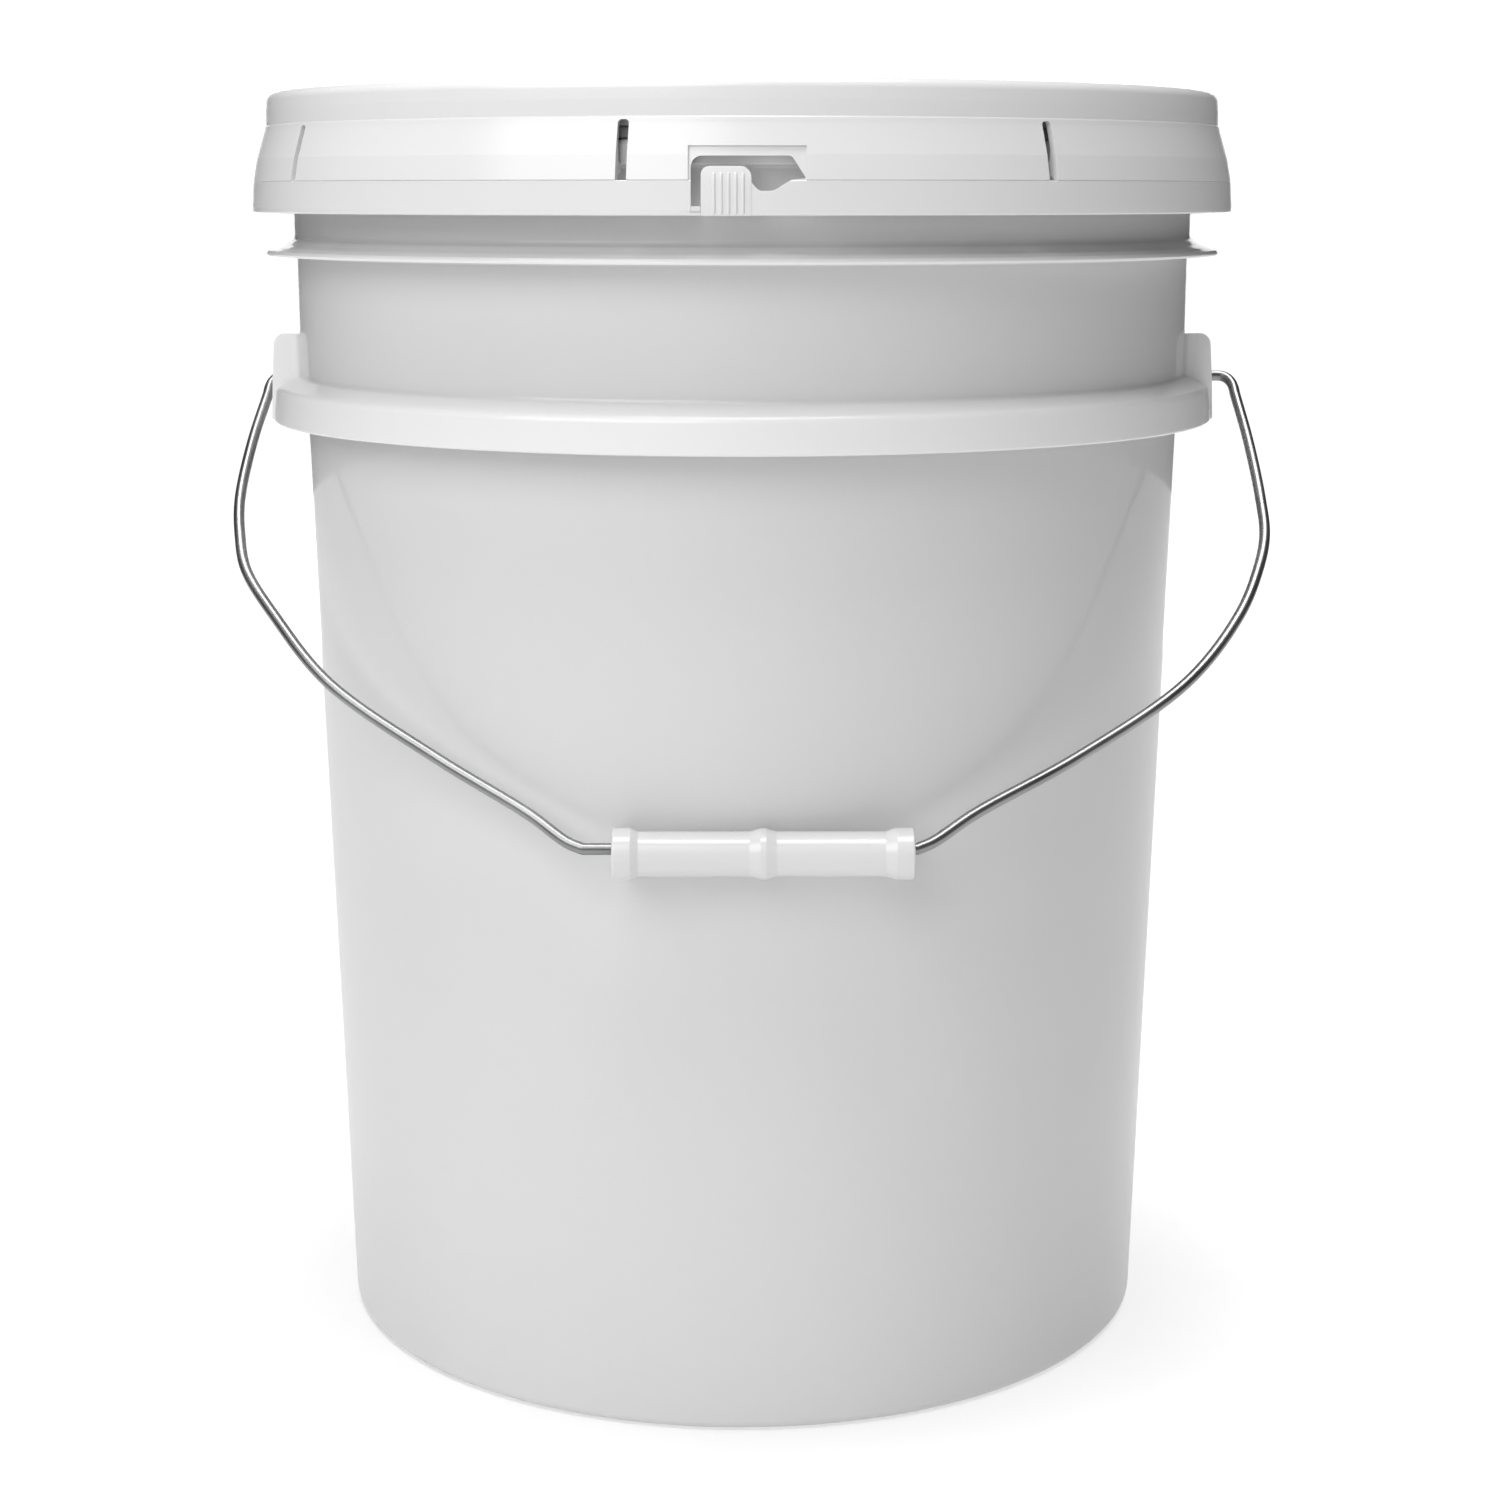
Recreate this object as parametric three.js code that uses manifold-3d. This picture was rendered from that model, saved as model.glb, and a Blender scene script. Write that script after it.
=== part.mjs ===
// A 20 litre fermenting bucket: pail with moulded bail ears, gasketed tear-strip lid,
// grommet for an airlock, wire bail and turning plastic grip.
// Millimetres, +Z up. The origin is the centre of the base, on the floor; the front is -Y.
import * as THREE from 'three';
import { mergeVertices } from 'three/addons/utils/BufferGeometryUtils.js';
import Module from 'manifold-3d';

const wasm = await Module();
wasm.setup();

const SEGMENTS = 64;                 // facets round every large turned piece
const GAP = 0.3;                     // left between pieces that touch

// Pail
const BASE_RADIUS = 132.2;           // outer wall, continued down to the floor
const WALL_DRAFT = 0.0259;           // growth of the wall radius per mm of height
const WALL = 2.3;
const FOOT_HEIGHT = 3;
const FLOOR_TOP = 5.5;
const BAND_BOTTOM = 293.5;
const BAND_RADIUS = 150.5;
const BAND_WALL = 2;
const NECK_RADIUS = 141.7;           // wall above the band
const FLANGE_Z = 345.1;
const FLANGE_RADIUS = 151.3;
const RIM_BOTTOM = 371.8;
const RIM_TOP = 378.4;
const RIM_RADIUS = 146.8;
const BAND_RIBS = 16;

// Ears for the bail
const EAR_HALF_WIDTH = 21;
const EAR_TOP = 320.6;
const EAR_OUTER = 149.7;
const EAR_WALL = 2.3;
const PIVOT_Z = 305.9;
const PIVOT_HOLE_RADIUS = 2.6;

// Lid
const LID_TOP = 394.6;
const SCORE_Z = 367.5;               // line along which the tear strip comes off
const SKIRT_BOTTOM = 358.15;
const PANEL_TOP = 377.5;
const PANEL_UNDER = 375.5;
const SLOTS = 8;
const SLOT_PITCH = 46;               // degrees; the last space, at the back left, is narrower
const FIRST_SLOT = -58.2;            // degrees from the front, towards +X
const SLOT_WIDTH = 3.1;
const SLOT_TOP = 383.5;
const VENT_Y = 78;
const VENT_RADIUS = 6.35;

// Pull tab in its window
const TAB_LEFT = -11.1;
const TAB_RIGHT = 2.4;
const TAB_TOP = 371.2;
const TAB_RIBS = 5;
const TAB_RIB_PITCH = 1.95;
const SLIT_LEFT = -13.8;

// Bail and grip
const WIRE_RADIUS = 1.75;
const BAIL_TILT = THREE.MathUtils.degToRad(49.1); // from straight down, towards the front
const BAIL_DROP = 189.3;             // pivot line to the straight part of the wire
const HOOK_X = 144.4;                // hooked ends, inside the ears
const HOOK_LENGTH = 8.5;
const HOOK_BEND = 3.3;
const GRIP_X = 5.8;                  // the grip lies to the right on its straight
const GRIP_LENGTH = 85.5;
const GRIP_RADIUS = 6.4;
const COLLAR_RADIUS = 7.4;
const GRIP_BORE = 3.75;
const GRIP_HANG = 1.7;               // the loose grip hangs this far outside the wire's axis

// ---- helpers -------------------------------------------------------------------------

// A turned solid about +Z from [radius, height] points, given from the bottom up the outside.
function turned(points, segments = SEGMENTS) {
  const profile = points.map(([r, z]) => new THREE.Vector2(r, z));
  return new THREE.LatheGeometry(profile, segments).rotateX(Math.PI / 2);
}

// Points of an arc from angle a to b (degrees) about [r, z].
function arc([r, z], radius, a, b, steps = 3) {
  return Array.from({ length: steps + 1 }, (_, i) => {
    const t = THREE.MathUtils.degToRad(a + (b - a) * i / steps);
    return [r + radius * Math.cos(t), z + radius * Math.sin(t)];
  });
}

// A flat outline in X and Z, pushed from the plane y0 to y1.
function pushedAlongY(shape, y0, y1) {
  const settings = { depth: y1 - y0, bevelEnabled: false, curveSegments: 4 };
  return new THREE.ExtrudeGeometry(shape, settings).rotateX(Math.PI / 2).translate(0, y1, 0);
}

function outline(points) {
  return new THREE.Shape(points.map(([x, z]) => new THREE.Vector2(x, z)));
}

function block(x0, x1, y0, y1, z0, z1) {
  return new THREE.BoxGeometry(x1 - x0, y1 - y0, z1 - z0)
    .translate((x0 + x1) / 2, (y0 + y1) / 2, (z0 + z1) / 2);
}

function solid(geometry) {
  const bare = geometry.clone();
  bare.deleteAttribute('normal');
  bare.deleteAttribute('uv');
  const merged = mergeVertices(bare, 1e-4);
  return new wasm.Manifold(new wasm.Mesh({
    numProp: 3,
    vertProperties: new Float32Array(merged.attributes.position.array),
    triVerts: new Uint32Array(merged.index.array),
  }));
}

function geometryOf(manifold) {
  const mesh = manifold.getMesh();
  const geometry = new THREE.BufferGeometry();
  geometry.setAttribute('position', new THREE.BufferAttribute(mesh.vertProperties, 3));
  geometry.setIndex(new THREE.BufferAttribute(mesh.triVerts, 1));
  geometry.computeVertexNormals();
  return geometry;
}

function material(color, roughness, metalness = 0) {
  return new THREE.MeshStandardMaterial({ color, roughness, metalness });
}

function named(name, geometry, look) {
  const mesh = new THREE.Mesh(geometry, look);
  mesh.name = name;
  return mesh;
}

const wallRadius = (z) => BASE_RADIUS + WALL_DRAFT * z;

// ---- pail ----------------------------------------------------------------------------

function pailShell() {
  const foot = [
    [0, FOOT_HEIGHT],
    [122.5, FOOT_HEIGHT],
    [124.5, 0],
    ...arc([BASE_RADIUS - 3, 3], 3, -90, 0),
  ];
  const bandTop = wallRadius(BAND_BOTTOM + 8);
  const band = [
    [bandTop, BAND_BOTTOM + 8],
    [BAND_RADIUS - BAND_WALL, BAND_BOTTOM + 7],
    [BAND_RADIUS - BAND_WALL, BAND_BOTTOM],
    [BAND_RADIUS, BAND_BOTTOM],
    ...arc([BAND_RADIUS - 2, BAND_BOTTOM + 8.8], 2, 0, 75),
    [NECK_RADIUS + 1, BAND_BOTTOM + 13.4],
    [NECK_RADIUS, BAND_BOTTOM + 14.2],
  ];
  const flange = [
    [NECK_RADIUS + 0.1, FLANGE_Z],
    [FLANGE_RADIUS - 0.5, FLANGE_Z],
    [FLANGE_RADIUS, FLANGE_Z + 0.8],
    [149.3, FLANGE_Z + 2.4],
    [146.2, FLANGE_Z + 3.3],
    [NECK_RADIUS + 0.7, FLANGE_Z + 5],
  ];
  const rim = [
    [NECK_RADIUS + 0.7, RIM_BOTTOM - 0.6],
    [RIM_RADIUS - 0.4, RIM_BOTTOM],
    ...arc([RIM_RADIUS - 1.8, RIM_TOP - 1.8], 1.8, 0, 90),
    [141.4, RIM_TOP],
    [140.1, RIM_TOP - 1],
  ];
  const inside = [
    [NECK_RADIUS - WALL, BAND_BOTTOM + 16],
    [bandTop - WALL, BAND_BOTTOM + 8],
    [wallRadius(9) - WALL, 9],
    [127, FLOOR_TOP],
    [0, FLOOR_TOP],
  ];
  return solid(turned([...foot, ...band, ...flange, ...rim, ...inside]));
}

// The pail's outer wall as a plain plug, to keep the ears' hollows out of the wall.
function wallPlug() {
  return solid(turned([
    [0, 250],
    [wallRadius(250) + GAP, 250],
    [wallRadius(BAND_BOTTOM) + GAP, BAND_BOTTOM],
    [NECK_RADIUS + GAP, BAND_BOTTOM + 12],
    [NECK_RADIUS + GAP, EAR_TOP + 20],
    [0, EAR_TOP + 20],
  ]));
}

function earBlock() {
  return solid(pushedAlongY(outline([
    [138.5, BAND_BOTTOM],
    [EAR_OUTER, BAND_BOTTOM],
    [EAR_OUTER - 0.5, PIVOT_Z],
    [EAR_OUTER - 1.7, EAR_TOP - 3.2],
    [EAR_OUTER - 2.9, EAR_TOP - 1.2],
    [EAR_OUTER - 5.3, EAR_TOP - 0.1],
    [139.5, EAR_TOP],
  ]), -EAR_HALF_WIDTH, EAR_HALF_WIDTH));
}

// The space in which the bail's hook swings, open at the bottom, and the hole to it.
function earHollow() {
  const width = EAR_HALF_WIDTH - EAR_WALL;
  const space = solid(block(
    130, EAR_OUTER - 0.4 - EAR_WALL, -width, width, BAND_BOTTOM - 5, EAR_TOP - EAR_WALL,
  )).subtract(wallPlug());
  const hole = new THREE.CylinderGeometry(PIVOT_HOLE_RADIUS, PIVOT_HOLE_RADIUS, 8, 16)
    .rotateZ(Math.PI / 2)
    .translate(EAR_OUTER, 0, PIVOT_Z);
  return space.add(solid(hole));
}

function bandRib(index) {
  const turn = (index + 0.5) / BAND_RIBS * Math.PI * 2;
  return solid(block(138.6, BAND_RADIUS - 1, -0.8, 0.8, BAND_BOTTOM + 1.5, BAND_BOTTOM + 8.4)
    .rotateZ(turn));
}

function pailBody() {
  let pail = pailShell();
  for (let i = 0; i < BAND_RIBS; i += 1) {
    pail = pail.add(bandRib(i));
  }
  for (const turn of [0, 180]) {
    pail = pail
      .add(earBlock().rotate([0, 0, turn]))
      .subtract(earHollow().rotate([0, 0, turn]));
  }
  return geometryOf(pail);
}

// ---- lid -----------------------------------------------------------------------------

const SKIRT_OUTSIDE = [
  [154.9, SKIRT_BOTTOM + 1],
  [154.35, SCORE_Z],
  [153.1, 374.3],
  [150.3, 383.2],
  [150.1, 384.4],
];

function lidShell() {
  const skirt = [
    [152.4, SCORE_Z + GAP / 2],
    [154.35, SCORE_Z + GAP / 2],
    ...SKIRT_OUTSIDE.slice(2),
    [149.8, 389.4],
    ...arc([145.4, LID_TOP - 4], 4, 20, 90),
  ];
  const top = [
    [139.2, LID_TOP],
    [138.2, LID_TOP - 1],
    [136.9, PANEL_TOP + 1.6],
    [135.2, PANEL_TOP],
    [0, PANEL_TOP],
  ];
  const plug = [
    [0, PANEL_UNDER],
    [137.6, PANEL_UNDER],
    [139.1, PANEL_UNDER + 2.4],
    [139.7, LID_TOP - 2.4],
  ];
  const sealingRib = [
    [142.9, LID_TOP - 2.4],
    [142.9, RIM_TOP + 3.5],
    [144.3, RIM_TOP + 3.5],
    [144.7, LID_TOP - 2.4],
  ];
  const inside = [
    [146.6, LID_TOP - 2.8],
    [147.9, 389],
    [148.4, 383.5],
    [150.5, 376],
    [150.2, 372.4],
    [147.4, 371],
    [147.4, 370],
    [151.4, 368.6],
  ];
  return solid(turned([...plug, ...sealingRib, ...inside, ...skirt, ...top]));
}

function skirtSlot(index) {
  const turn = THREE.MathUtils.degToRad(FIRST_SLOT + SLOT_PITCH * index);
  const half = SLOT_WIDTH / 2;
  const shape = outline([
    [-half, SCORE_Z - 1],
    [half, SCORE_Z - 1],
    [half, SLOT_TOP - 0.8],
    [half - 0.8, SLOT_TOP],
    [0.8 - half, SLOT_TOP],
    [-half, SLOT_TOP - 0.8],
  ]);
  return solid(pushedAlongY(shape, -160, -145.6).rotateZ(turn));
}

// The opening beside and above the tab, with the finger scoop to its right.
function windowShape() {
  const shape = new THREE.Shape();
  shape.moveTo(SLIT_LEFT, SKIRT_BOTTOM - 2);
  shape.lineTo(SLIT_LEFT, 371.4);
  shape.quadraticCurveTo(SLIT_LEFT, 373.9, -10.6, 373.9);
  shape.lineTo(11.4, 373.9);
  shape.quadraticCurveTo(13, 373.9, 13.8, 372.6);
  shape.lineTo(17, 368);
  shape.lineTo(13.2, 367.6);
  shape.bezierCurveTo(11, 366.6, 10, 364.7, 7.6, 364.7);
  shape.lineTo(4.9, 364.7);
  shape.quadraticCurveTo(TAB_RIGHT + GAP, 364.7, TAB_RIGHT + GAP, 366.9);
  shape.lineTo(TAB_RIGHT + GAP, SKIRT_BOTTOM - 2);
  return shape;
}

function windowCutter() {
  return solid(pushedAlongY(windowShape(), -160, -145.6));
}

// The skirt's outer skin, from depth mm below its surface to well outside it.
function skirtSkin(depth, outward) {
  const inner = SKIRT_OUTSIDE.map(([r, z]) => [r - depth, z]);
  const outer = SKIRT_OUTSIDE.map(([r, z]) => [r + outward, z]);
  const low = SKIRT_BOTTOM - 0.05;
  return solid(turned([
    [inner[0][0], low],
    [outer[0][0], low],
    ...outer,
    ...inner.slice().reverse(),
    [inner[0][0], low],
  ]));
}

function lid() {
  let shell = lidShell().subtract(windowCutter());
  const recess = solid(block(-14.5, 17.2, -160, -140, SCORE_Z - 1, 376.6));
  shell = shell.subtract(recess.intersect(skirtSkin(0.7, 3)));
  for (let i = 0; i < SLOTS; i += 1) {
    shell = shell.subtract(skirtSlot(i));
  }
  const vent = new THREE.CylinderGeometry(VENT_RADIUS, VENT_RADIUS, 12, 24)
    .rotateX(Math.PI / 2)
    .translate(0, VENT_Y, PANEL_TOP);
  return geometryOf(shell.subtract(solid(vent)));
}

function tearStrip() {
  const top = SCORE_Z - GAP / 2;
  const ring = solid(turned([
    [152.6, SKIRT_BOTTOM],
    [154.5, SKIRT_BOTTOM],
    [154.9, SKIRT_BOTTOM + 0.5],
    [154.9, SKIRT_BOTTOM + 1.4],
    [154.36, top],
    [152.4, top],
    [152.6, SKIRT_BOTTOM],
  ]));
  const bridge = solid(block(SLIT_LEFT - 1, TAB_LEFT - GAP, -153.9, -152.6, 359.3, 360.7));
  return geometryOf(ring.subtract(windowCutter()).add(bridge));
}

function pullTab() {
  const corner = 2.5;
  const shape = new THREE.Shape();
  shape.moveTo(TAB_LEFT, SKIRT_BOTTOM);
  shape.lineTo(TAB_LEFT, TAB_TOP - corner);
  shape.quadraticCurveTo(TAB_LEFT, TAB_TOP, TAB_LEFT + corner, TAB_TOP);
  shape.lineTo(TAB_RIGHT - corner, TAB_TOP);
  shape.quadraticCurveTo(TAB_RIGHT, TAB_TOP, TAB_RIGHT, TAB_TOP - corner);
  shape.lineTo(TAB_RIGHT, SKIRT_BOTTOM);
  let tab = solid(pushedAlongY(shape, -160, -140)).intersect(skirtSkin(1.7, 0));
  for (let i = 0; i < TAB_RIBS; i += 1) {
    const x = TAB_LEFT + 3.45 + i * TAB_RIB_PITCH;
    const rib = solid(block(x - 0.45, x + 0.45, -160, -140, SKIRT_BOTTOM, TAB_TOP - 1.6));
    tab = tab.add(rib.intersect(skirtSkin(1, 0.4)));
  }
  return geometryOf(tab);
}

function gasket() {
  const low = RIM_TOP + GAP;
  const high = RIM_TOP + 3.2;
  return turned([
    [141.2, low + 0.6],
    [141.8, low],
    [145.4, low],
    [146, low + 0.6],
    [146, high - 0.6],
    [145.4, high],
    [141.8, high],
    [141.2, high - 0.6],
    [141.2, low + 0.6],
  ]);
}

function grommet() {
  const flange = 9;
  const groove = VENT_RADIUS - GAP;
  const bore = 4.7;
  const low = PANEL_UNDER - GAP;
  const high = PANEL_TOP + GAP;
  return turned([
    [bore, low - 2.2],
    [flange - 1.2, low - 2.2],
    [flange, low - 1.1],
    [flange, low],
    [groove, low],
    [groove, high],
    [flange, high],
    [flange, high + 1.1],
    [flange - 1.2, high + 2.2],
    [bore, high + 2.2],
    [bore, low - 2.2],
  ], 24).translate(0, VENT_Y, 0);
}

// ---- bail ----------------------------------------------------------------------------

// One side of the wire below its bend at the ear, as [below the pivot line, half width,
// shift to the right]: the wire is bent by hand-set tooling and isn't quite symmetric.
const BAIL_SIDE = [
  [8, 156.2, 3],
  [30, 158.6, 2.6],
  [55, 159.7, 2.5],
  [70, 158.6, 3.1],
  [84, 155.1, 3],
  [103, 145.6, 4.4],
  [129, 127, 4.5],
  [157, 92.7, 4.1],
  [177, 63.8, 2.6],
];
const BAIL_STRAIGHT = [47.4, 2.1];   // half length of the straight part, shift to the right

// A path whose pieces each take a chosen number of steps, so that bends are finely divided.
class SteppedPath extends THREE.Curve {
  pieces = [];
  steps = 0;

  add(curve, count) {
    this.pieces.push({ curve, first: this.steps, count });
    this.steps += count;
  }

  place(u) {
    const step = Math.min(Math.max(u, 0), 1) * this.steps;
    const piece = this.pieces.findLast(({ first }) => first <= step + 1e-9);
    return [piece.curve, Math.min(Math.max((step - piece.first) / piece.count, 0), 1)];
  }

  getPoint(u) {
    const [curve, t] = this.place(u);
    return curve.getPoint(t);
  }

  getPointAt(u) {
    return this.getPoint(u);
  }

  getTangentAt(u) {
    const [curve, t] = this.place(u);
    return curve.getTangent(t);
  }
}

// Half of the wire from its hooked end to the middle; side is 1 on the right, -1 on the left.
function halfBail(side) {
  const at = (halfWidth, down, shift = 0) => new THREE.Vector3(
    side * halfWidth + shift, -down * Math.sin(BAIL_TILT), -down * Math.cos(BAIL_TILT),
  );
  const hookTop = at(HOOK_X, -HOOK_LENGTH);
  const hookFoot = at(HOOK_X, -HOOK_BEND);
  const hookCorner = at(HOOK_X, 0);
  const throughStart = at(HOOK_X + HOOK_BEND, 0);
  const [firstDown, firstHalf, firstShift] = BAIL_SIDE[0];
  const bend = 5;
  const earCorner = at(firstHalf, 0, firstShift);
  const throughEnd = at(firstHalf - bend, 0, firstShift);
  const sideStart = at(firstHalf, firstDown, firstShift);
  const [half, shift] = BAIL_STRAIGHT;
  const route = BAIL_SIDE.map(([down, width, lean]) => at(width, down, lean));
  const sideCurve = new THREE.CatmullRomCurve3(
    [...route, at(half + 4.6, BAIL_DROP - 2.4, shift), at(half, BAIL_DROP, shift)],
    false, 'centripetal',
  );
  return [
    [new THREE.LineCurve3(hookTop, hookFoot), 1],
    [new THREE.QuadraticBezierCurve3(hookFoot, hookCorner, throughStart), 4],
    [new THREE.LineCurve3(throughStart, throughEnd), 1],
    [new THREE.QuadraticBezierCurve3(throughEnd, earCorner, sideStart), 5],
    [sideCurve, 30],
  ];
}

function reversed(curve) {
  const back = new THREE.Curve();
  back.getPoint = (t) => curve.getPoint(1 - t);
  back.getTangent = (t) => curve.getTangent(1 - t).negate();
  return back;
}

function bailPath() {
  const left = halfBail(-1);
  const right = halfBail(1);
  const path = new SteppedPath();
  for (const [curve, count] of left) {
    path.add(curve, count);
  }
  const leftEnd = left.at(-1)[0].getPoint(1);
  const rightEnd = right.at(-1)[0].getPoint(1);
  path.add(new THREE.LineCurve3(leftEnd, rightEnd), 1);
  for (const [curve, count] of right.reverse()) {
    path.add(reversed(curve), count);
  }
  return path;
}

function bailWire() {
  const path = bailPath();
  const section = new THREE.Shape().absarc(0, 0, WIRE_RADIUS, 0, Math.PI * 2);
  return new THREE.ExtrudeGeometry(section, {
    steps: path.steps,
    curveSegments: 4,
    extrudePath: path,
    bevelEnabled: false,
  });
}

function grip() {
  const end = GRIP_LENGTH / 2;
  const ring = [4.6, 2.6, 1, -1, -2.6, -4.6].map((x) => [
    GRIP_RADIUS + 0.85 * Math.cos(x / 4.6 * Math.PI / 2) ** 1.4, -x,
  ]);
  return turned([
    [GRIP_BORE, -end],
    [COLLAR_RADIUS - 0.4, -end],
    [COLLAR_RADIUS, 0.4 - end],
    [COLLAR_RADIUS, 5.2 - end],
    [GRIP_RADIUS, 7.4 - end],
    ...ring,
    [GRIP_RADIUS, end - 7.9],
    [COLLAR_RADIUS, end - 5.1],
    [COLLAR_RADIUS, end - 0.4],
    [COLLAR_RADIUS - 0.4, end],
    [GRIP_BORE, end],
    [GRIP_BORE, -end],
  ], 24).rotateY(Math.PI / 2);
}

// ---- assembly ------------------------------------------------------------------------

const white = material(0xe9e9e7, 0.38);
const whiteGloss = material(0xf2f2f0, 0.28);
const rubber = material(0xb9bab8, 0.8);
const steel = material(0xb8babc, 0.22, 1);

const bucket = new THREE.Group();

const pail = new THREE.Group();
pail.add(named('pail_body', pailBody(), white));

const lidGroup = new THREE.Group();
lidGroup.add(named('lid', lid(), whiteGloss));
lidGroup.add(named('tear_strip', tearStrip(), whiteGloss));
lidGroup.add(named('pull_tab', pullTab(), whiteGloss));
lidGroup.add(named('lid_gasket', gasket(), rubber));
lidGroup.add(named('airlock_grommet', grommet(), rubber));

const bail = new THREE.Group();
bail.position.set(0, 0, PIVOT_Z);
bail.add(named('bail_wire', bailWire(), steel));
const bailGrip = named('bail_grip', grip(), whiteGloss);
bailGrip.position.set(
  GRIP_X,
  -(BAIL_DROP + GRIP_HANG) * Math.sin(BAIL_TILT),
  -(BAIL_DROP + GRIP_HANG) * Math.cos(BAIL_TILT),
);
bail.add(bailGrip);

bucket.add(pail, lidGroup, bail);

export default bucket;
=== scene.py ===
"""Plastic fermenting bucket: the looks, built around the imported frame.

Shapes are given in millimetres in the frame's own axes (+Z up, front at -Y) and scaled to
metres when a mesh is made. Heights and radii start from the frame's boxes.
"""

import math

import bmesh
import bpy
from mathutils import Matrix, Vector


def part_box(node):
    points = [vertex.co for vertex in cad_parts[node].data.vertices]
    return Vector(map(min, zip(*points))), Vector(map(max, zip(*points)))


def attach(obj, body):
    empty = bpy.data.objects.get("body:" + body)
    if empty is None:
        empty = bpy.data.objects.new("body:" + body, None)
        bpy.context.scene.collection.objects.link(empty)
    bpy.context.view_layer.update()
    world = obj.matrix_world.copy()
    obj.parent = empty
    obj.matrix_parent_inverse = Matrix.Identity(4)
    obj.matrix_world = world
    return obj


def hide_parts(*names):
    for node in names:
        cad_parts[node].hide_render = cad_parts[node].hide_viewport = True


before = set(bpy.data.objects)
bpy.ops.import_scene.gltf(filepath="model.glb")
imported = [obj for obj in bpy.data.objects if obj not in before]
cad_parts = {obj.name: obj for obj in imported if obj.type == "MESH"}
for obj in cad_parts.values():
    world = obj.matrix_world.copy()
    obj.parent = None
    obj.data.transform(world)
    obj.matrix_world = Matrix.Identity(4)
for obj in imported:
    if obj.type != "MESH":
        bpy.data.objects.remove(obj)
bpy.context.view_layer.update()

MM = 0.001
SEGMENTS = 192


def level(node, corner, axis):
    """One coordinate of a CAD node's box, in millimetres."""
    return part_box(node)[corner][axis] / MM


# Heights and radii taken from the frame
RIM_TOP = level("pail_body", 1, 2)
FLANGE_RADIUS = level("pail_body", 1, 0)
LID_TOP = level("lid", 1, 2)
SKIRT_BOTTOM = level("tear_strip", 0, 2)
SCORE_Z = (level("tear_strip", 1, 2) + level("lid", 0, 2)) / 2
SKIRT_RADIUS = level("tear_strip", 1, 0)
TAB_LEFT = level("pull_tab", 0, 0)
TAB_RIGHT = level("pull_tab", 1, 0)
TAB_TOP = level("pull_tab", 1, 2)
GRIP_X = (level("bail_grip", 0, 0) + level("bail_grip", 1, 0)) / 2
GRIP_Y = (level("bail_grip", 0, 1) + level("bail_grip", 1, 1)) / 2
GRIP_Z = (level("bail_grip", 0, 2) + level("bail_grip", 1, 2)) / 2
GRIP_LENGTH = level("bail_grip", 1, 0) - level("bail_grip", 0, 0)
COLLAR_RADIUS = (level("bail_grip", 1, 2) - level("bail_grip", 0, 2)) / 2
VENT_Y = (level("airlock_grommet", 0, 1) + level("airlock_grommet", 1, 1)) / 2

# Pail
BASE_RADIUS = 132.2
WALL_DRAFT = 0.0259
WALL = 2.3
FOOT_HEIGHT = 3.0
FLOOR_TOP = 5.5
BAND_BOTTOM = 293.5
BAND_RADIUS = 150.5
NECK_RADIUS = 141.7
FLANGE_Z = 345.1
BASE_RING_RADII = (39.5, 97.5)
BASE_RIBS = 12
BAND_RIBS = 16
EAR_HALF_WIDTH = 21.0
EAR_OUTER = 149.7
EAR_TOP = 320.6
EAR_WALL = 2.3
PIVOT_Z = 305.9
PIVOT_HOLE_RADIUS = 2.6

# Lid
PANEL_TOP = 377.5
PANEL_UNDER = 375.5
SLOTS = 8
SLOT_PITCH = 46.0
FIRST_SLOT = -58.2
SLOT_WIDTH = 3.1
SLOT_TOP = 383.5
SLIT_LEFT = -13.8
SKIRT_CUT = (-160, -145.6)
TOP_GUSSETS = 24
UNDER_RIBS = 16
VENT_RADIUS = 6.35
TAB_RIBS = 5
TAB_RIB_PITCH = 1.95

# Bail
WIRE_RADIUS = 1.7
BAIL_TILT = math.radians(49.1)
BAIL_DROP = 189.3
HOOK_X = 144.4
HOOK_LENGTH = 8.5
HOOK_BEND = 3.3


# ---- mesh helpers ----------------------------------------------------------------------


def rounded(corners, closed=False):
    """The outline through corners (a, b, fillet), each one rounded by its fillet radius."""
    outline = []
    last = len(corners) - 1
    for i, (a, b, radius) in enumerate(corners):
        here = Vector((a, b))
        if radius <= 0 or (not closed and i in (0, last)):
            outline.append(here)
            continue
        back = Vector(corners[i - 1][:2]) - here
        ahead = Vector(corners[(i + 1) % len(corners)][:2]) - here
        half = back.angle(ahead) / 2
        reach = min(radius / math.tan(half), 0.48 * back.length, 0.48 * ahead.length)
        radius = reach * math.tan(half)
        middle = (back.normalized() + ahead.normalized()).normalized()
        centre = here + middle * radius / math.sin(half)
        start = here + back.normalized() * reach - centre
        end = here + ahead.normalized() * reach - centre
        turn = math.atan2(start.x * end.y - start.y * end.x, start.dot(end))
        steps = max(2, math.ceil(abs(math.degrees(turn)) / 13))
        for k in range(steps + 1):
            outline.append(centre + Matrix.Rotation(turn * k / steps, 2) @ start)
    return outline


def finish_mesh(name, mesh):
    """Turns a bmesh in millimetres into an object in metres, faces out."""
    bmesh.ops.recalc_face_normals(mesh, faces=mesh.faces)
    bmesh.ops.scale(mesh, vec=(MM, MM, MM), verts=mesh.verts)
    data = bpy.data.meshes.new(name)
    mesh.to_mesh(data)
    mesh.free()
    piece = bpy.data.objects.new(name, data)
    bpy.context.scene.collection.objects.link(piece)
    return piece


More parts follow.
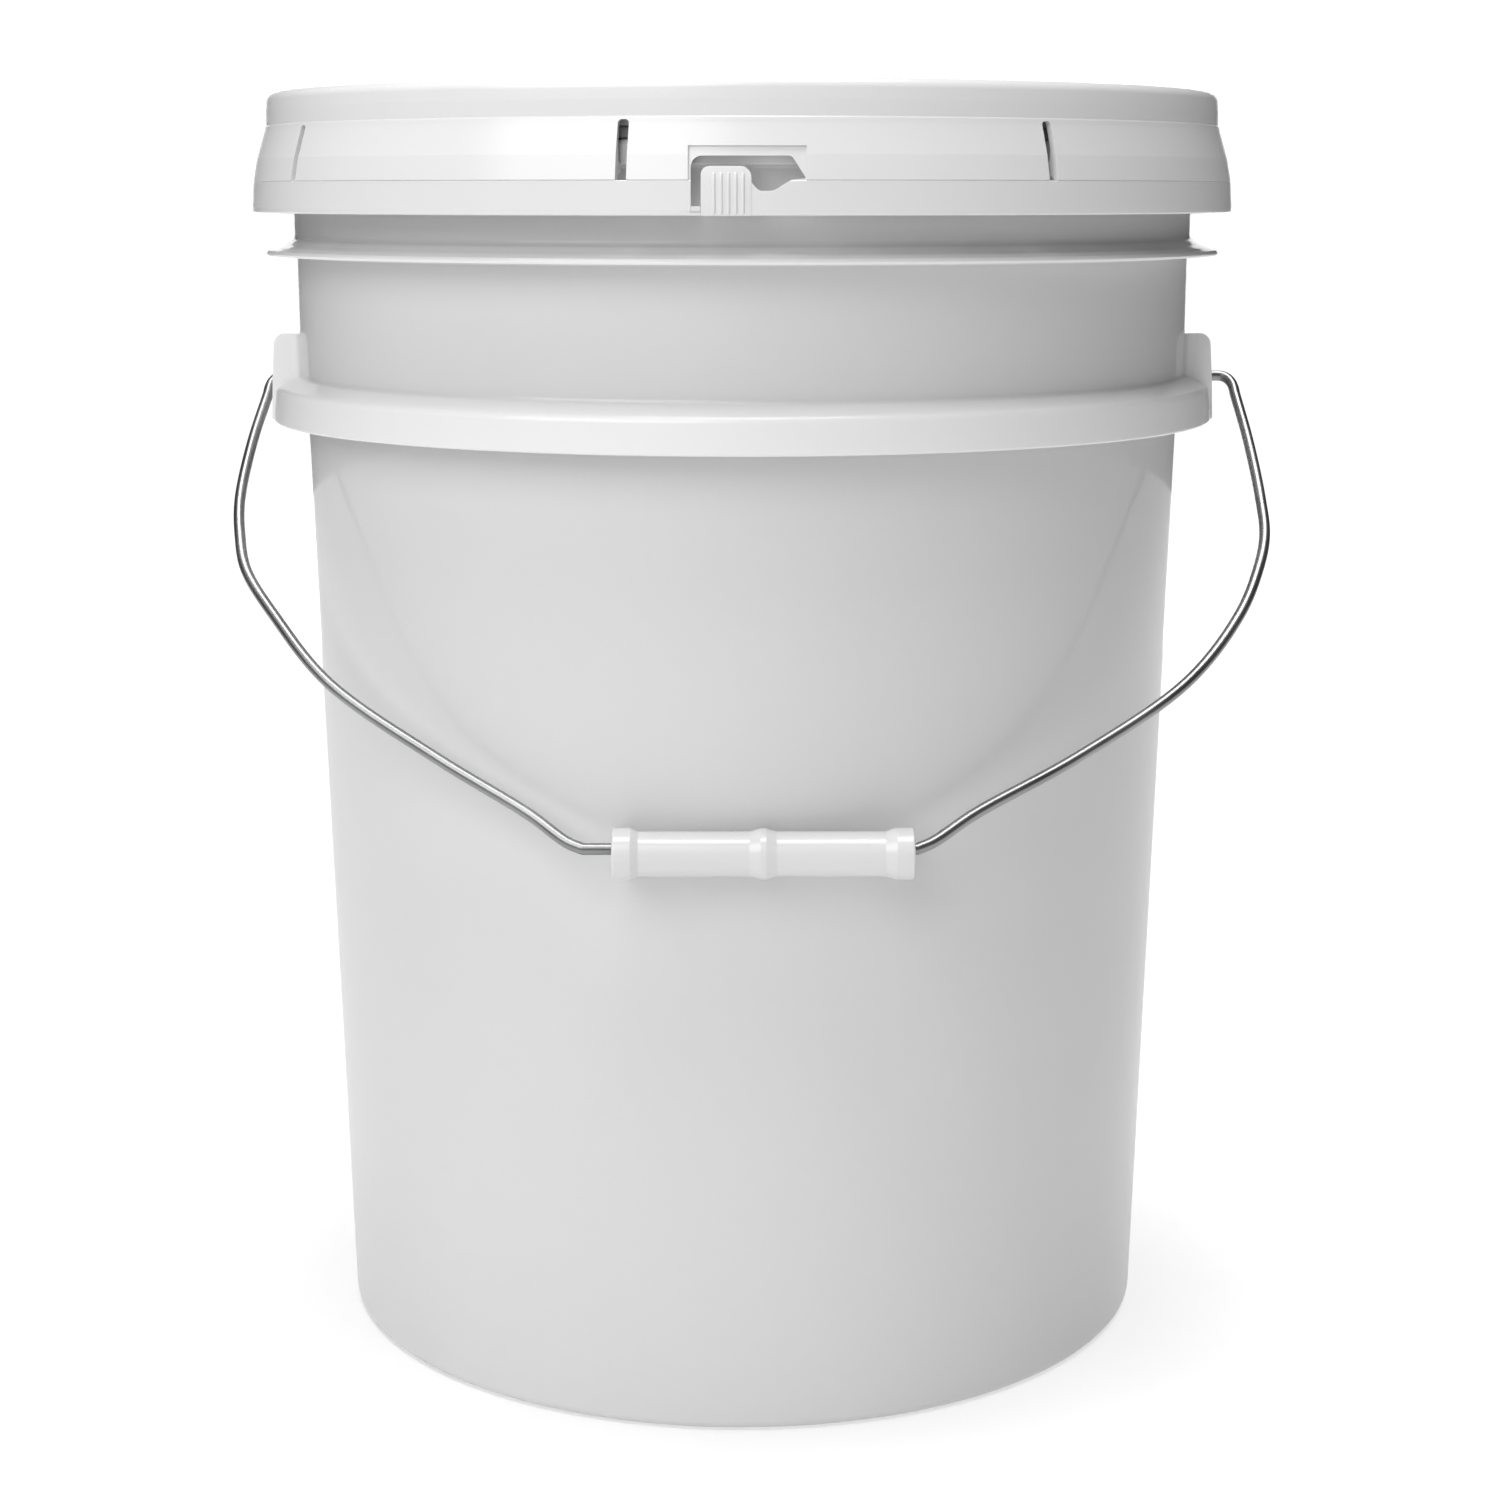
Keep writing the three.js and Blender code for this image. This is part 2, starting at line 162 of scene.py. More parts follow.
def skin(mesh, rings, closed):
    """Quads between neighbouring rings of vertices; a ring of one vertex is a point."""
    pairs = list(zip(rings, rings[1:]))
    if closed:
        pairs.append((rings[-1], rings[0]))
    for low, high in pairs:
        count = max(len(low), len(high))
        for k in range(count):
            after = (k + 1) % count
            loop = [low[k % len(low)], low[after % len(low)],
                    high[after % len(high)], high[k % len(high)]]
            mesh.faces.new(list(dict.fromkeys(loop)))


def capped(name, mesh, rings):
    """The solid through a row of rings, with a flat face at each end."""
    skin(mesh, rings, closed=False)
    mesh.faces.new(rings[0])
    mesh.faces.new(rings[-1])
    return finish_mesh(name, mesh)


def turned(name, outline, segments=SEGMENTS, closed=False):
    """A solid of revolution about Z from an outline of (radius, height)."""
    mesh = bmesh.new()
    rings = []
    for radius, height in outline:
        if radius < 1e-6:
            rings.append([mesh.verts.new((0, 0, height))])
            continue
        rings.append([
            mesh.verts.new((radius * math.sin(a), -radius * math.cos(a), height))
            for a in (2 * math.pi * k / segments for k in range(segments))
        ])
    skin(mesh, rings, closed)
    return finish_mesh(name, mesh)


def pushed(name, outline, y0, y1):
    """A flat outline in X and Z pushed from y0 to y1."""
    mesh = bmesh.new()
    rings = [[mesh.verts.new((x, y, z)) for x, z in outline] for y in (y0, y1)]
    return capped(name, mesh, rings)


def block(name, low, high):
    """A box between two corners."""
    outline = [(low[0], low[2]), (high[0], low[2]), (high[0], high[2]), (low[0], high[2])]
    return pushed(name, outline, low[1], high[1])


def rod(name, centre, radius, length, axis):
    """A round bar; axis is the rotation that lays it along its direction."""
    mesh = bmesh.new()
    bmesh.ops.create_cone(
        mesh, segments=48, radius1=radius, radius2=radius, depth=length, cap_ends=True,
        matrix=Matrix.Translation(centre) @ axis,
    )
    return finish_mesh(name, mesh)


def turn_about_z(piece, angle):
    piece.data.transform(Matrix.Rotation(angle, 4, "Z"))
    return piece


def on_side(piece, side):
    """Leaves a piece on the right (+1) or turns it round to the left (-1)."""
    return turn_about_z(piece, 0 if side > 0 else math.pi)


def bake_modifiers(piece):
    """Replaces the piece's mesh by its evaluated one."""
    bpy.context.view_layer.update()
    evaluated = piece.evaluated_get(bpy.context.evaluated_depsgraph_get())
    data = bpy.data.meshes.new_from_object(evaluated)
    piece.modifiers.clear()
    piece.data = data


def combine(piece, tools, operation):
    """Joins the tools to the piece, cuts them from it, or keeps what they share."""
    group = bpy.data.collections.new("tools")
    for tool in tools:
        group.objects.link(tool)
    boolean = piece.modifiers.new("combine", "BOOLEAN")
    boolean.operation = operation
    boolean.solver = "EXACT"
    boolean.operand_type = "COLLECTION"
    boolean.collection = group
    bake_modifiers(piece)
    for tool in tools:
        bpy.data.objects.remove(tool)
    bpy.data.collections.remove(group)
    return piece


def smooth(piece, angle=32):
    """Smooth shading that keeps edges sharper than the angle, and flat faces flat."""
    mesh = bmesh.new()
    mesh.from_mesh(piece.data)
    bmesh.ops.remove_doubles(mesh, verts=mesh.verts, dist=0.00001)
    bmesh.ops.dissolve_degenerate(mesh, edges=mesh.edges, dist=0.00001)
    mesh.to_mesh(piece.data)
    mesh.free()
    piece.data.shade_smooth()
    piece.data.set_sharp_from_angle(angle=math.radians(angle))
    weighted = piece.modifiers.new("normals", "WEIGHTED_NORMAL")
    weighted.keep_sharp = True
    weighted.weight = 60
    bake_modifiers(piece)
    return piece


def fit_out(piece, body, node, material):
    """Gives a finished piece its body, the CAD node it stands for, and its material."""
    piece.data.materials.clear()
    piece.data.materials.append(material)
    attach(piece, body)
    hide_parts(node)


# ---- materials -------------------------------------------------------------------------


class Look:
    """A node material around one Principled shader, with object coordinates at hand."""

    def __init__(self, name):
        self.material = bpy.data.materials.new(name)
        self.material.use_nodes = True
        self.nodes = self.material.node_tree.nodes
        self.links = self.material.node_tree.links
        self.shader = self.nodes["Principled BSDF"]
        self.place = self.nodes.new("ShaderNodeTexCoord").outputs["Object"]

    def noise(self, scale, detail, roughness=0.5, stretch=(1, 1, 1)):
        """Noise whose features are about 1/scale metres, stretched along the axes."""
        mapping = self.nodes.new("ShaderNodeMapping")
        mapping.inputs["Scale"].default_value = stretch
        texture = self.nodes.new("ShaderNodeTexNoise")
        texture.inputs["Scale"].default_value = scale
        texture.inputs["Detail"].default_value = detail
        texture.inputs["Roughness"].default_value = roughness
        self.links.new(self.place, mapping.inputs["Vector"])
        self.links.new(mapping.outputs["Vector"], texture.inputs["Vector"])
        return texture.outputs["Fac"]

    def remap(self, value, low, high, to_low, to_high):
        """The value carried from one range to another, and clamped there."""
        node = self.nodes.new("ShaderNodeMapRange")
        for socket, number in zip(node.inputs[1:5], (low, high, to_low, to_high)):
            socket.default_value = number
        self.links.new(value, node.inputs["Value"])
        return node.outputs["Result"]

    def tint(self, value, first, second):
        """A colour between two, by value; each is three numbers or another node's colour."""
        node = self.nodes.new("ShaderNodeMix")
        node.data_type = "RGBA"
        for socket, colour in ((node.inputs[6], first), (node.inputs[7], second)):
            if isinstance(colour, tuple):
                socket.default_value = (*colour, 1)
            else:
                self.links.new(colour, socket)
        self.links.new(value, node.inputs["Factor"])
        return node.outputs[2]

    def calculate(self, operation, *values):
        """One arithmetic step on sockets and numbers."""
        node = self.nodes.new("ShaderNodeMath")
        node.operation = operation
        for socket, value in zip(node.inputs, values):
            if isinstance(value, (int, float)):
                socket.default_value = value
            else:
                self.links.new(value, socket)
        return node.outputs["Value"]

    def stand_out(self):
        """How far a point lies outside the pail's tapered wall, in metres."""
        split = self.nodes.new("ShaderNodeSeparateXYZ")
        self.links.new(self.place, split.inputs["Vector"])
        x, y, z = split.outputs
        squares = self.calculate("MULTIPLY_ADD", x, x, self.calculate("MULTIPLY", y, y))
        radius = self.calculate("SQRT", squares)
        wall = self.calculate("MULTIPLY_ADD", z, WALL_DRAFT, BASE_RADIUS * MM)
        return self.calculate("SUBTRACT", radius, wall)

    def bumps(self, layers):
        """A chain of bump layers, each (height, distance in metres, strength)."""
        normal = None
        for height, distance, strength in layers:
            bump = self.nodes.new("ShaderNodeBump")
            bump.inputs["Distance"].default_value = distance
            bump.inputs["Strength"].default_value = strength
            self.links.new(height, bump.inputs["Height"])
            if normal:
                self.links.new(normal, bump.inputs["Normal"])
            normal = bump.outputs["Normal"]
        self.links.new(normal, self.shader.inputs["Normal"])

    def drive(self, socket, value):
        """Links a value that varies over the surface to one of the shader's sockets."""
        self.links.new(value, self.shader.inputs[socket])

    def fix(self, **numbers):
        """Sets sockets that are the same all over; underscores stand for spaces."""
        for name, number in numbers.items():
            self.shader.inputs[name.replace("_", " ")].default_value = number


def moulded_plastic(name, colour, gloss, grain, ripple, coat, painted_light_tone=None):
    """White polyethylene: faintly cloudy, gloss that varies a little, grain and slow ripple.

    Where the pail stands out from its wall, at the band, ears and flange, the base colour is
    painted
    whiter: painted light for the extra light these thick parts send back and a thin wall lets
    through.
    """
    look = Look(name)
    clouds = look.noise(9, detail=2)
    shade = tuple(c * 0.95 for c in colour)
    base = look.tint(look.remap(clouds, 0.15, 0.85, 0, 1), shade, colour)
    if painted_light_tone:
        # Painted light: a whiter base colour where the surface stands out from the pail's wall
        base = look.tint(look.remap(look.stand_out(), 0.0017, 0.0027, 0, 1), base, painted_light_tone)
    look.drive("Base Color", base)
    wear = look.noise(14, detail=2)
    look.drive("Roughness", look.remap(wear, 0.15, 0.85, gloss - 0.025, gloss + 0.03))
    look.bumps([
        (look.noise(9, detail=1, stretch=(1, 1, 4)), 0.002, ripple),
        (look.noise(1700, detail=2), 0.0002, grain),
    ])
    look.fix(
        IOR=1.5, Subsurface_Weight=0.12, Subsurface_Radius=(1.0, 0.95, 0.85),
        Subsurface_Scale=0.004, Coat_Weight=coat, Coat_Roughness=0.05,
    )
    return look.material


def soft_rubber(name, colour):
    """Matt rubber with fine pits and a little dust."""
    look = Look(name)
    dust = look.noise(60, detail=5, roughness=0.7)
    pale = tuple(min(1.0, c * 1.25 + 0.015) for c in colour)
    look.drive("Base Color", look.tint(look.remap(dust, 0.35, 0.75, 0, 1), colour, pale))
    look.drive("Roughness", look.remap(dust, 0.3, 0.7, 0.62, 0.8))
    look.bumps([(look.noise(2600, detail=3), 0.0003, 0.35)])
    look.fix(IOR=1.5, Specular_IOR_Level=0.35)
    return look.material


def plated_wire():
    """Drawn, zinc-plated steel: grey, with fine marks and duller patches."""
    look = Look("bail_steel")
    patches = look.noise(40, detail=2)
    look.drive("Base Color", look.tint(
        look.remap(patches, 0.3, 0.7, 0, 1), (0.24, 0.242, 0.245), (0.33, 0.332, 0.335)))
    look.drive("Roughness", look.remap(patches, 0.3, 0.7, 0.34, 0.42))
    look.bumps([(look.noise(2500, detail=2), 0.00005, 0.05)])
    look.fix(Metallic=1.0)
    return look.material


# ---- pail ------------------------------------------------------------------------------


def wall_radius(z):
    """Outer radius of the tapered wall at a height."""
    return BASE_RADIUS + WALL_DRAFT * z


def pail_outline():
    """The pail's section, from the centre underneath, up the outside and down the inside."""
    web = BAND_BOTTOM + 8
    boss = [(0, FOOT_HEIGHT - 0.9, 0), (3.2, FOOT_HEIGHT - 0.9, 0.5), (4.2, FOOT_HEIGHT, 0.4)]
    rings = []
    for radius in BASE_RING_RADII:
        rings += [
            (radius - 1.5, FOOT_HEIGHT, 0.3), (radius - 0.8, FOOT_HEIGHT - 0.8, 0.3),
            (radius + 0.8, FOOT_HEIGHT - 0.8, 0.3), (radius + 1.5, FOOT_HEIGHT, 0.3),
        ]
    foot = [(122.3, FOOT_HEIGHT, 1), (124.4, 0, 0.8), (BASE_RADIUS, 0, 3)]
    band = [
        (wall_radius(web), web, 1.4), (BAND_RADIUS - 2, web - 1, 0.9),
        (BAND_RADIUS - 2, BAND_BOTTOM, 0.5), (BAND_RADIUS, BAND_BOTTOM, 0.7),
        (BAND_RADIUS - 1.1, BAND_BOTTOM + 10.4, 2.8), (NECK_RADIUS, BAND_BOTTOM + 13.9, 1.8),
    ]
    flange = [
        (NECK_RADIUS + 0.1, FLANGE_Z, 0.8), (FLANGE_RADIUS - 0.3, FLANGE_Z, 0.3),
        (FLANGE_RADIUS, FLANGE_Z + 0.7, 0.4), (FLANGE_RADIUS - 0.5, FLANGE_Z + 1.6, 0.5),
        (149.0, FLANGE_Z + 2.5, 3), (145.6, FLANGE_Z + 3.3, 3),
        (NECK_RADIUS + 0.7, FLANGE_Z + 5.2, 2),
    ]
    rim = [
        (NECK_RADIUS + 0.7, RIM_TOP - 7.2, 0.7), (146.4, RIM_TOP - 6.7, 0.5),
        (146.8, RIM_TOP, 2), (140.1, RIM_TOP, 1.4),
    ]
    inside = [
        (NECK_RADIUS - WALL, BAND_BOTTOM + 16, 5), (wall_radius(web) - WALL, web, 5),
        (wall_radius(FLOOR_TOP) - WALL, FLOOR_TOP, 3.4), (0, FLOOR_TOP, 0),
    ]
    return rounded([*boss, *rings, *foot, *band, *flange, *rim, *inside])


def band_rib(index):
    """A gusset in the hollow under the band, with a swept lower edge."""
    outline = rounded([
        (138.8, BAND_BOTTOM + 0.8, 0), (141.5, BAND_BOTTOM + 0.8, 3),
        (144.5, BAND_BOTTOM + 2.6, 3), (149.4, BAND_BOTTOM + 2.2, 0),
        (149.4, BAND_BOTTOM + 8.6, 0), (138.8, BAND_BOTTOM + 8.9, 0),
    ])
    rib = pushed("rib", outline, -0.7, 0.7)
    return turn_about_z(rib, (index + 0.5) / BAND_RIBS * 2 * math.pi)


def base_rib(index):
    """A low stiffening rib on the underside, between its two rings."""
    inner, outer = BASE_RING_RADII
    rib = block(
        "base_rib", (inner + 1, -0.7, FOOT_HEIGHT - 0.8), (outer - 0.5, 0.7, FOOT_HEIGHT + 0.5))
    return turn_about_z(rib, index / BASE_RIBS * 2 * math.pi)


def ear_block(side):
    """The outer form of an ear: a tapering box, its end faces blended into the neck."""
    ear = pushed("ear", rounded([
        (138.6, BAND_BOTTOM, 0), (EAR_OUTER, BAND_BOTTOM, 0.7), (EAR_OUTER - 0.5, PIVOT_Z, 8),
        (EAR_OUTER - 1.5, EAR_TOP, 3.6), (138.4, EAR_TOP, 0),
    ]), -30, 30)
    foot = [(138.7, 29, 0), (140.1, EAR_HALF_WIDTH, 4), (155, EAR_HALF_WIDTH, 0)]
    mirrored = [(x, -y, radius) for x, y, radius in reversed(foot)]
    plan = pushed("plan", rounded([*foot, *mirrored]), BAND_BOTTOM - 1, EAR_TOP + 1)
    plan.data.transform(Matrix.Rotation(math.pi / 2, 4, "X"))
    combine(ear, [plan], "INTERSECT")
    soften(ear, 0.5, end_face_rim)
    return on_side(ear, side)


def end_face_rim(edge):
    """Whether an edge bounds one of the ear's two flat end faces."""
    flat = [abs(abs(v.co.y) / MM - EAR_HALF_WIDTH) < 0.02 for v in edge.verts]
    return all(flat) and min(v.co.x for v in edge.verts) > 0.1435


def band_groove(side, end):
    """The narrow groove where the band stops at an ear."""
    y = end * (EAR_HALF_WIDTH + 0.35)
    groove = block("groove", (148.4, y - 0.25, BAND_BOTTOM - 1), (152, y + 0.25, 303.2))
    return on_side(groove, side)


def soften(piece, width, chosen):
    """Rounds the chosen edges by width millimetres."""
    mesh = bmesh.new()
    mesh.from_mesh(piece.data)
    bmesh.ops.dissolve_limit(
        mesh, angle_limit=math.radians(1), verts=mesh.verts, edges=mesh.edges)
    edges = [e for e in mesh.edges if chosen(e)]
    bmesh.ops.bevel(
        mesh, geom=edges, offset=width * MM, segments=3, profile=0.5, affect="EDGES",
        clamp_overlap=True,
    )
    mesh.to_mesh(piece.data)
    mesh.free()


def inner_corner(edge):
    """Whether an edge of the ear's space is on its outer wall or is a long one."""
    return min(v.co.x for v in edge.verts) > 0.14 or edge.calc_length() > 0.03


def ear_space(side):
    """The space in which the hook swings, kept clear of the pail's wall."""
    width = EAR_HALF_WIDTH - EAR_WALL
    space = block(
        "ear_space", (130, -width, BAND_BOTTOM - 5),
        (EAR_OUTER - 0.4 - EAR_WALL, width, EAR_TOP - EAR_WALL))
    soften(space, 1.2, inner_corner)
    plug = turned("plug", rounded([
        (0, 250, 0), (wall_radius(250) + 0.2, 250, 0),
        (wall_radius(BAND_BOTTOM) + 0.2, BAND_BOTTOM, 0),
        (NECK_RADIUS + 0.2, BAND_BOTTOM + 12, 3), (NECK_RADIUS + 0.2, 340, 0), (0, 340, 0),
    ]))
    combine(space, [plug], "DIFFERENCE")
    return on_side(space, side)


def pivot_hole(side):
    across = Matrix.Rotation(math.pi / 2, 4, "Y")
    return rod("pivot_hole", (side * EAR_OUTER, 0, PIVOT_Z), PIVOT_HOLE_RADIUS, 8, across)


def make_pail(material):
    pail = turned("pail_shell", pail_outline())
    additions = [band_rib(i) for i in range(BAND_RIBS)]
    additions += [base_rib(i) for i in range(BASE_RIBS)]
    additions += [ear_block(side) for side in (1, -1)]
    combine(pail, additions, "UNION")
    cuts = [ear_space(side) for side in (1, -1)] + [pivot_hole(side) for side in (1, -1)]
    cuts += [band_groove(side, end) for side in (1, -1) for end in (1, -1)]
    combine(pail, cuts, "DIFFERENCE")
    smooth(pail)
    fit_out(pail, "pail", "pail_body", material)


# ---- lid -------------------------------------------------------------------------------

# The skirt's outside, from the score line up to the bead
SKIRT_FLARE = [(154.35, SCORE_Z), (153.1, 374.3), (150.6, 382.6)]


def skirt_radius(z):
    """Outer radius of the skirt at a height, from the strip's foot to the bead."""
    stations = [(SKIRT_RADIUS, SKIRT_BOTTOM + 1), *SKIRT_FLARE]
    for (r0, z0), (r1, z1) in zip(stations, stations[1:]):
        if z <= z1:
            return r0 + (r1 - r0) * (z - z0) / (z1 - z0)
    return stations[-1][0]


def lid_outline():
    """The lid's section, from the centre underneath, outwards, up the skirt and back."""
    under = [
        (0, PANEL_UNDER, 0), (118, PANEL_UNDER, 0.5), (119, PANEL_UNDER - 0.8, 0.4),
        (121, PANEL_UNDER - 0.8, 0.4), (122, PANEL_UNDER, 0.5),
        (137.6, PANEL_UNDER, 1.2), (139.1, PANEL_UNDER + 2.4, 1), (139.7, LID_TOP - 2.4, 0.8),
    ]
    sealing_rib = [
        (142.9, LID_TOP - 2.4, 0.4), (142.9, RIM_TOP + 3.5, 0.4), (144.3, RIM_TOP + 3.5, 0.4),
        (144.7, LID_TOP - 2.4, 0.4),
    ]
    inside = [
        (147.2, LID_TOP - 2.6, 1.5), (148.4, 383.5, 3), (150.5, 376, 2), (150.2, 372.4, 0.8),
        (147.4, 371.2, 0.4), (147.4, 369.8, 0.4), (151.4, 368.6, 1), (152.4, SCORE_Z + 0.02, 0),
    ]
    skirt = [
        (154.2, SCORE_Z + 0.02, 0), (154.36, SCORE_Z + 0.16, 0.05), (*SKIRT_FLARE[1], 6),
        (*SKIRT_FLARE[2], 2), (150.3, 384.0, 0.2), (150.0, 384.4, 0.3),
        (149.85, 388.8, 6), (149.4, LID_TOP, 4),
    ]
    top = [
        (139.2, LID_TOP, 1.5), (136.9, PANEL_TOP + 1.6, 1), (135.2, PANEL_TOP, 1.5),
        (113, PANEL_TOP, 0.8), (112, PANEL_TOP + 0.9, 0.6), (108, PANEL_TOP + 0.9, 0.6),
        (107, PANEL_TOP, 0.8),
        (3.5, PANEL_TOP, 0.4), (2.8, PANEL_TOP + 0.5, 0.3), (0, PANEL_TOP + 0.5, 0),
    ]
    return rounded([*under, *sealing_rib, *inside, *skirt, *top])


def skirt_slot(index):
    """One of the upright slots round the skirt."""
    half = SLOT_WIDTH / 2
    outline = rounded([
        (-half, SCORE_Z - 1, 0), (half, SCORE_Z - 1, 0),
        (half, SLOT_TOP, 1.1), (-half, SLOT_TOP, 1.1),
    ], closed=True)
    slot = pushed("slot", outline, *SKIRT_CUT)
    return turn_about_z(slot, math.radians(FIRST_SLOT + SLOT_PITCH * index))


def window_cutter():
    """The opening to the left of the tab and over it, with the finger scoop on its right."""
    low = SKIRT_BOTTOM - 2
    edge = TAB_RIGHT + 0.05
    outline = rounded([
        (SLIT_LEFT, low, 0), (SLIT_LEFT, 373.9, 3), (13.2, 373.9, 1.6), (17.0, 368.0, 0.2),
        (13.0, 367.6, 4), (8.4, 364.7, 4), (4.3, 364.7, 2.2), (edge, 366.9, 0), (edge, low, 0),
    ], closed=True)
    return pushed("window", outline, *SKIRT_CUT)


def skirt_layer(depth, outward):
    """A closed ring that follows the skirt, from depth below its surface to outward of it."""
    foot = [(SKIRT_RADIUS - 0.15, SKIRT_BOTTOM), (SKIRT_RADIUS, SKIRT_BOTTOM + 1)]
    stations = [*foot, *SKIRT_FLARE]
    outer = [(r + outward, z) for r, z in stations]
    inner = [(r - depth, z) for r, z in reversed(stations)]
    return turned("layer", outer + inner, closed=True)


def window_recess():
    """The shallow panel sunk round the window."""
    recess = block("recess", (-14.5, -160, SCORE_Z - 6.9), (17.2, -140, 376.6))
    return combine(recess, [skirt_layer(0.7, 3)], "INTERSECT")


def top_gusset(index):
    """A small gusset between the lid's stacking ring and its panel."""
    outline = [(134.2, PANEL_TOP - 0.5), (139, PANEL_TOP - 0.5), (139, LID_TOP - 3.5),
               (137.2, LID_TOP - 3.5)]
    gusset = pushed("gusset", outline, -0.6, 0.6)
    return turn_about_z(gusset, (index + 0.5) / TOP_GUSSETS * 2 * math.pi)


def under_rib(index):
    """A radial rib under the panel, between its ring and the plug wall."""
    rib = block("under_rib", (120.5, -0.6, PANEL_UNDER - 0.8), (137, 0.6, PANEL_UNDER + 0.5))
    return turn_about_z(rib, index / UNDER_RIBS * 2 * math.pi)


def make_lid(material):
    lid = turned("lid_shell", lid_outline())
    additions = [top_gusset(i) for i in range(TOP_GUSSETS)]
    additions += [under_rib(i) for i in range(UNDER_RIBS)]
    combine(lid, additions, "UNION")
    cuts = [skirt_slot(i) for i in range(SLOTS)]
    cuts += [window_cutter(), window_recess()]
    cuts.append(rod("vent", (0, VENT_Y, PANEL_TOP), VENT_RADIUS, 12, Matrix.Identity(4)))
    combine(lid, cuts, "DIFFERENCE")
    smooth(lid)
    fit_out(lid, "lid", "lid", material)


def make_tear_strip(material):
    outline = rounded([
        (152.6, SKIRT_BOTTOM, 0.4), (SKIRT_RADIUS - 0.15, SKIRT_BOTTOM, 0.6),
        (SKIRT_RADIUS, SKIRT_BOTTOM + 1.5, 1),
        (154.38, SCORE_Z - 0.18, 0.05), (154.2, SCORE_Z - 0.02, 0), (152.4, SCORE_Z - 0.02, 0),
    ], closed=True)
    strip = turned("tear_strip_ring", outline, closed=True)
    combine(strip, [window_cutter()], "DIFFERENCE")
    bridge = block("bridge", (SLIT_LEFT - 1.5, -154.1, SKIRT_BOTTOM + 1.1),
                   (TAB_LEFT - 0.1, -152.7, SKIRT_BOTTOM + 2.5))
    sill = block("sill", (SLIT_LEFT - 1.5, -154.3, SKIRT_BOTTOM + 0.05),
                 (TAB_LEFT - 0.1, -152.9, SKIRT_BOTTOM + 0.9))
    combine(strip, [bridge, sill], "UNION")
    smooth(strip)
    fit_out(strip, "lid", "tear_strip", material)


def tab_rib(index):
    """A raised rib with round ends that follows the skirt's flare down the tab."""
    x = TAB_LEFT + 3.45 + index * TAB_RIB_PITCH
    low, high, radius = SKIRT_BOTTOM + 0.35, TAB_TOP - 1.6, 0.5
    mesh = bmesh.new()
    rings = []
    for share in (0, 0.02, 0.06, 0.2, 0.35, 0.5, 0.65, 0.8, 0.94, 0.98, 1):
        z = low + (high - low) * share
        end = min(z - low, high - z)
        r = radius * math.sqrt(max(0.02, 1 - max(0.0, 1 - end / radius) ** 2))
        y = 0.1 - math.sqrt(skirt_radius(z) ** 2 - x ** 2)
        rings.append([
            mesh.verts.new((x + r * math.cos(a), y + r * math.sin(a), z))
            for a in (2 * math.pi * k / 14 for k in range(14))
        ])
    return capped("tab_rib", mesh, rings)


def make_pull_tab(material):
    outline = rounded([
        (TAB_LEFT, SKIRT_BOTTOM, 0.3), (TAB_LEFT, TAB_TOP, 2.3),
        (TAB_RIGHT, TAB_TOP, 2.9), (TAB_RIGHT, SKIRT_BOTTOM, 0),
    ], closed=True)
    tab = pushed("tab_blade", outline, -160, -140)
    combine(tab, [skirt_layer(1.7, 0)], "INTERSECT")
    combine(tab, [tab_rib(i) for i in range(TAB_RIBS)], "UNION")
    smooth(tab, angle=40)
    fit_out(tab, "pull_tab", "pull_tab", material)


def make_gasket(material):
    low = level("lid_gasket", 0, 2)
    high = level("lid_gasket", 1, 2)
    ring = turned("gasket_ring", rounded([
        (141.2, low, 0.7), (146, low, 0.7), (146, high, 0.9), (144.6, high, 0.3),
        (143.6, high - 0.5, 0.4), (142.6, high, 0.3), (141.2, high, 0.9),
    ], closed=True), closed=True)
    smooth(ring)
    fit_out(ring, "lid", "lid_gasket", material)


def make_grommet(material):
    low = level("airlock_grommet", 0, 2)
    high = level("airlock_grommet", 1, 2)
    flange = level("airlock_grommet", 1, 0)
    groove = VENT_RADIUS - 0.05
    grommet = turned("grommet_ring", rounded([
        (4.7, low, 0.6), (flange, low, 1.2), (flange, PANEL_UNDER - 0.1, 0.4),
        (groove, PANEL_UNDER - 0.1, 0.2), (groove, PANEL_TOP + 0.1, 0.2),
        (flange, PANEL_TOP + 0.1, 0.4), (flange, high, 1.2), (4.7, high, 0.6),
    ], closed=True), segments=96, closed=True)
    grommet.data.transform(Matrix.Translation((0, VENT_Y * MM, 0)))
    smooth(grommet)
    fit_out(grommet, "lid", "airlock_grommet", material)


# ---- bail ------------------------------------------------------------------------------

# The wire's sides, as (distance below the pivot line, half width, shift to the right)
BAIL_SIDE = [
    (8, 156.2, 3.0), (30, 158.6, 2.6), (55, 159.7, 2.5), (70, 158.6, 3.1), (84, 155.1, 3.0),
    (103, 145.6, 4.4), (129, 127.0, 4.5), (157, 92.7, 4.1), (177, 63.8, 2.6),
]
# The straight middle that the grip sits on: half width and shift to the right
BAIL_STRAIGHT = (47.4, 2.1)


def bail_point(half_width, down, shift, side):
    """A point in the bail's plane, which tilts forward from the pivot line."""
    return Vector((
        side * half_width + shift, -down * math.sin(BAIL_TILT),
        PIVOT_Z - down * math.cos(BAIL_TILT),
    ))


def bezier(a, b, c, steps):
    """Points of a quadratic bend from a to c about the corner b, without the first."""
    return [
        a * (1 - t) ** 2 + b * 2 * t * (1 - t) + c * t * t
        for t in (k / steps for k in range(1, steps + 1))
    ]


